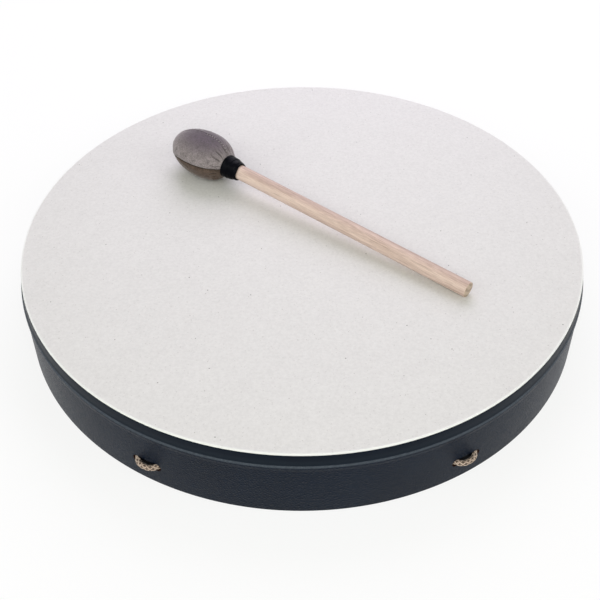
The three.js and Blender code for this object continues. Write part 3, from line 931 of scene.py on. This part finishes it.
# Side and top tones of each panel; their difference is painted light and shade.
light_side, light_top = (0.402, 0.352, 0.357), (0.156, 0.125, 0.154)
dark_side, dark_top = (0.150, 0.106, 0.083), (0.172, 0.127, 0.102)
for name, upper, node, slot, side, top in (
    ("suede_upper", True, "mallet_cover_upper", "suede_light", light_side, light_top),
    ("suede_lower", False, "mallet_cover_lower", "suede_dark", dark_side, dark_top),
):
    mesh = pad_panel(name, upper)
    lay_on_head(mesh)
    for vert in mesh.vertices:
        vert.co.z = max(vert.co.z, head_height + 0.0001)
    mesh.materials.append(suede(name, side, top))
    panel = link(name, mesh)
    leather = panel.modifiers.new("leather", "SOLIDIFY")
    leather.thickness, leather.offset = panel_thickness, -1.0
    made_plain(panel)
    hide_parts(node)
    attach(panel, "mallet")


def stitch_tree():
    """Short stitches of thread, set at even steps along a route."""
    tree = bpy.data.node_groups.new("stitches", "GeometryNodeTree")
    face = tree.interface
    face.new_socket("Route", in_out="INPUT", socket_type="NodeSocketGeometry")
    for name, value in (("Spacing", 0.0032), ("Length", 0.0018), ("Thickness", 0.0010)):
        face.new_socket(name, in_out="INPUT", socket_type="NodeSocketFloat").default_value = value
    face.new_socket("Finish", in_out="INPUT", socket_type="NodeSocketMaterial")
    face.new_socket("Stitches", in_out="OUTPUT", socket_type="NodeSocketGeometry")
    nodes, links = tree.nodes, tree.links
    start, end = nodes.new("NodeGroupInput"), nodes.new("NodeGroupOutput")
    evenly = nodes.new("GeometryNodeCurveToPoints")
    evenly.mode = "LENGTH"
    links.new(start.outputs["Route"], evenly.inputs["Curve"])
    links.new(start.outputs["Spacing"], evenly.inputs["Length"])
    ball = nodes.new("GeometryNodeMeshUVSphere")
    ball.inputs["Segments"].default_value, ball.inputs["Rings"].default_value = 10, 8
    ball.inputs["Radius"].default_value = 0.5
    size, shaped = nodes.new("ShaderNodeCombineXYZ"), nodes.new("GeometryNodeTransform")
    for socket, name in zip(size.inputs, ("Thickness", "Thickness", "Length")):
        links.new(start.outputs[name], socket)
    links.new(ball.outputs["Mesh"], shaped.inputs["Geometry"])
    links.new(size.outputs[0], shaped.inputs["Scale"])
    placed, smooth = nodes.new("GeometryNodeInstanceOnPoints"), nodes.new("GeometryNodeSetShadeSmooth")
    links.new(evenly.outputs["Points"], placed.inputs["Points"])
    links.new(evenly.outputs["Rotation"], placed.inputs["Rotation"])
    links.new(shaped.outputs["Geometry"], placed.inputs["Instance"])
    real, coat = nodes.new("GeometryNodeRealizeInstances"), nodes.new("GeometryNodeSetMaterial")
    links.new(placed.outputs[0], smooth.inputs[0])
    links.new(smooth.outputs[0], real.inputs[0])
    links.new(real.outputs[0], coat.inputs["Geometry"])
    links.new(start.outputs["Finish"], coat.inputs["Material"])
    links.new(coat.outputs[0], end.inputs[0])
    return tree


pale_dark, pale_light = (0.26, 0.235, 0.235), (0.42, 0.385, 0.385)
pale_thread = mottled("pale_thread", (0.8, 0.2), (90.0, 2000.0), pale_dark, pale_light, (0.4, 0.0001))

to_head = mallet_place @ Matrix.Rotation(cover_roll, 4, "Z")
sewn_from, sewn_step, sewn_points, proud = 0.065, 0.006, 41, 0.0001
sewn_route = []
for share in (sewn_from + sewn_step * i for i in range(sewn_points)):
    r = pad_radius(along_pad(share)) + gathered(share, far_seam)
    sewn_route.append(to_head @ cover_point(share, far_seam, r + proud))
stitches = grown_along("cover_stitches", sewn_route, stitch_tree(), pale_thread.material)
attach(stitches, "mallet")

# Neck of the mallet
# Waxed thread ties the gathered cover to the handle, and black cloth tape is wound over it in a cone. Each
# turn of the tape stands a little proud where it laps the last, and its end is slightly ragged.
wax_dark, wax_light = (0.02, 0.017, 0.014), (0.04, 0.035, 0.03)
thread = mottled("waxed_thread", (0.7, 0.3), (60.0, 900.0), wax_dark, wax_light, (0.5, 0.0002))
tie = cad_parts["neck_thread"]
tie.data.materials.clear()
tie.data.materials.append(thread.material)

tape = Finish("black_tape", 0.36, 0.04)
mottle, grain = tape.grain(tape.place("own"), 150.0, 700.0)
tape.colour(tape.ramp(mottle, [(0.3, (0.0008, 0.0009, 0.0020)), (0.7, (0.0022, 0.0025, 0.0046))]))
tape.rough(tape.between(grain, 0.3, 0.7, 0.15, 0.42))
tape.bump(grain, 0.35, 0.0003)

tape_steps, tape_rows, tape_turns, tape_lap, tape_thickness = 160, 48, 3.0, 0.0004, 0.0007
tape_radius, to_middle, to_pad, uneven = 0.0091, 0.0020, 0.0012, 0.00015
verts, faces = [], []
for i in range(tape_rows + 1):
    f = i / tape_rows
    for j in range(tape_steps):
        t = 2 * math.pi * j / tape_steps
        ragged = (0.0005 * math.sin(2 * t + 0.7) + 0.00025 * math.sin(5 * t)) * (1 - ease(f, 0.0, 0.3))
        s = tape_start + 0.0002 + (tape_end - tape_start) * f + ragged
        r = tape_radius + to_middle * min(f, 0.5) / 0.5 + to_pad * max(f - 0.5, 0.0) / 0.5
        lap = (tape_turns * f + j / tape_steps) % 1.0
        r += tape_lap * ease(lap, 0.0, 0.05) * (1 - lap) + uneven * math.sin(4 * t + 9 * f)
        r -= 0.0004 * bell(f, 0.03) + 0.0006 * bell(1 - f, 0.03)
        verts.append((r * math.cos(t), r * math.sin(t), s))
for i in range(tape_rows):
    for j in range(tape_steps):
        a, b, k = i * tape_steps, (i + 1) * tape_steps, (j + 1) % tape_steps
        faces.append((a + j, a + k, b + k, b + j))
mesh = bpy.data.meshes.new("neck_tape_wrap")
mesh.from_pydata(verts, [], faces)
close_and_smooth(mesh, 50)
lay_on_head(mesh)
mesh.materials.append(tape.material)
neck = link("neck_tape_wrap", mesh)
layers = neck.modifiers.new("layers", "SOLIDIFY")
layers.thickness, layers.offset = tape_thickness, -1.0
made_plain(neck)
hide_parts("neck_tape")
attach(neck, "mallet")


# Floor and light
# A white floor that keeps a pale shadow near the drum and clears to plain white further off, a plain
# surround, and four large soft lamps: a yellowish one in front, one on either side that picks out the
# rolled edges, and a violet-white one above the back.
def shown_white(tree, falling):
    """White to the camera and in reflections, and another tone for the light that falls from it."""
    rays, tone = tree.nodes.new("ShaderNodeLightPath").outputs, tree.nodes.new("ShaderNodeMix")
    seen = math_step(tree, "MAXIMUM", rays["Is Glossy Ray"], rays["Is Transmission Ray"])
    seen = math_step(tree, "MAXIMUM", rays["Is Camera Ray"], seen)
    tone.data_type = "RGBA"
    tone.inputs[6].default_value, tone.inputs[7].default_value = (*falling, 1.0), (1.0, 1.0, 1.0, 1.0)
    tree.links.new(seen, tone.inputs[0])
    return tone.outputs[2], seen


scene = bpy.context.scene
scene.view_settings.view_transform = "Standard"
bm = bmesh.new()
bmesh.ops.create_grid(bm, x_segments=1, y_segments=1, size=40.0)
ground = bpy.data.meshes.new("floor")
bm.to_mesh(ground)
bm.free()
floor = link("floor", ground)
pale = Finish("floor_white", 0.9, 0.0)
white, seen = shown_white(pale.material.node_tree, (0.80, 0.80, 0.80))
pale.colour(white)
glow, blend = pale.nodes.new("ShaderNodeEmission"), pale.nodes.new("ShaderNodeMixShader")
clearing = pale.between(pale.from_axis(pale.place()), 0.7, 2.5, 0.8, 1.0)
pale.links.new(pale.calc("MULTIPLY", seen, clearing), blend.inputs[0])
pale.links.new(pale.shader.outputs[0], blend.inputs[1])
pale.links.new(glow.outputs[0], blend.inputs[2])
pale.links.new(blend.outputs[0], pale.nodes["Material Output"].inputs["Surface"])
ground.materials.append(pale.material)

surround = bpy.data.worlds.new("surround")
surround.use_nodes = True
scene.world = surround
white, _ = shown_white(surround.node_tree, (0.292, 0.290, 0.258))
background = surround.node_tree.nodes["Background"]
surround.node_tree.links.new(white, background.inputs["Color"])
background.inputs["Strength"].default_value = 1.0

lit_place = Vector((0.0, 0.0, 0.05))
for name, spot, size, power, colour in (
    ("front_lamp", (0.0, -2.05, 1.85), 1.6, 27.6, (0.955, 0.985, 0.895)),
    ("left_lamp", (-1.60, -0.80, 1.30), 1.4, 8.5, (0.96, 0.98, 1.0)),
    ("right_lamp", (1.60, -0.80, 1.30), 1.4, 8.5, (0.96, 0.98, 1.0)),
    ("back_lamp", (0.10, 1.15, 1.20), 1.6, 16.8, (0.89, 0.83, 1.0)),
):
    light = bpy.data.lights.new(name, "AREA")
    light.shape, light.size, light.energy, light.color = "DISK", size, power, colour
    lamp = link(name, light)
    lamp.location = spot
    lamp.rotation_euler = (lit_place - lamp.location).to_track_quat("-Z", "Y").to_euler()
